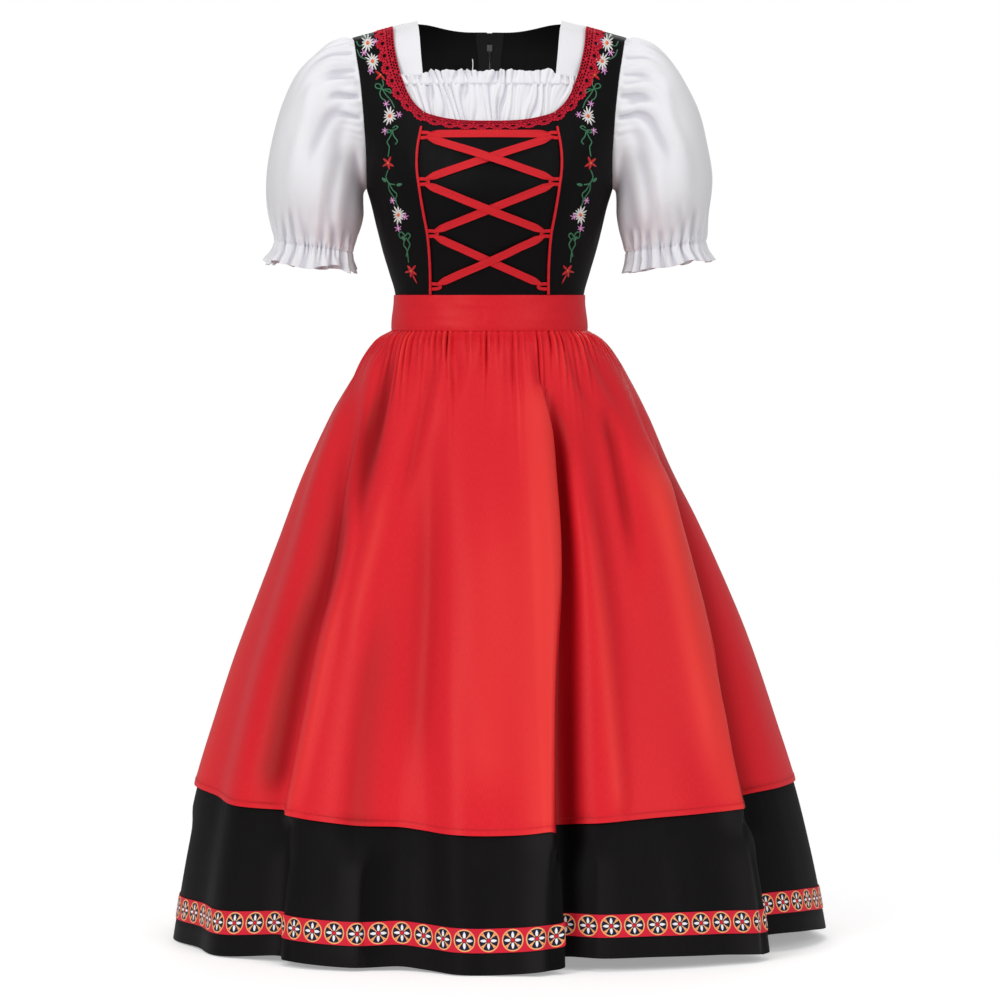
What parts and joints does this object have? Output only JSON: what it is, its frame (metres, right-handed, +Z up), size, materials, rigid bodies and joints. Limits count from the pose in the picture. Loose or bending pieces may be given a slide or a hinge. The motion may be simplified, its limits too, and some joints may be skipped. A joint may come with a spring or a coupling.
{
  "type": "dirndl dress",
  "caption": "Worn-form dirndl: laced black bodice, white blouse front and puffed sleeves, red satin apron tied behind, black gathered skirt with a ribbon band near the hem.",
  "frame": {"origin": "between the shoulders at the level of the shoulder seams, where a wearer or a form carries the dress", "axes": "+Z up, -Y the front of the dress, +X the wearer's left"},
  "size_m": [0.7804, 0.6841, 1.093],
  "materials": {
    "black_cloth": "matt woven",
    "zip_tape": "matt woven tape",
    "white_cotton": "matt woven",
    "red_satin": "satin sheen",
    "red_ribbon": "ribbed ribbon",
    "red_lace": "crochet thread",
    "woven_ribbon": "patterned woven ribbon",
    "zip_coil": "nylon coil",
    "zip_metal": "black enamel"
  },
  "bodies": {
    "dress": {"bodice_front_centre": "black_cloth", "bodice_front_left": "black_cloth", "bodice_front_right": "black_cloth", "bodice_back_left": "black_cloth", "bodice_back_right": "black_cloth", "skirt_front": "black_cloth", "skirt_back_left": "black_cloth", "skirt_back_right": "black_cloth", "zip_tape_left": "zip_tape", "zip_tape_right": "zip_tape", "insert_panel": "white_cotton", "insert_frill": "white_cotton", "insert_strap_left": "white_cotton", "insert_strap_right": "white_cotton", "sleeve_left": "white_cotton", "sleeve_right": "white_cotton", "apron": "red_satin", "apron_band": "red_satin", "bow_knot": "red_satin", "bow_loop_left": "red_satin", "bow_loop_right": "red_satin", "bow_tail_left": "red_satin", "bow_tail_right": "red_satin", "piping_left": "red_ribbon", "piping_right": "red_ribbon", "lacing_loop_left_1": "red_ribbon", "lacing_loop_left_2": "red_ribbon", "lacing_loop_left_3": "red_ribbon", "lacing_loop_left_4": "red_ribbon", "lacing_loop_right_1": "red_ribbon", "lacing_loop_right_2": "red_ribbon", "lacing_loop_right_3": "red_ribbon", "lacing_loop_right_4": "red_ribbon", "lacing_top": "red_ribbon", "lacing_1_left": "red_ribbon", "lacing_1_right": "red_ribbon", "lacing_2_left": "red_ribbon", "lacing_2_right": "red_ribbon", "lacing_3_left": "red_ribbon", "lacing_3_right": "red_ribbon", "neck_lace": "red_lace", "hem_trim": "woven_ribbon", "zip_coil": "zip_coil", "zip_slider": "zip_metal"},
    "zip_pull": {"zip_pull": "zip_metal"}
  },
  "joints": [
    {"name": "zip_pull_swing", "type": "hinge", "parent": "dress", "child": "zip_pull", "pos_m": [0, 0.08294, -0.00879], "axis": [1, 0, 0], "range_deg": [0, 150]}
  ]
}
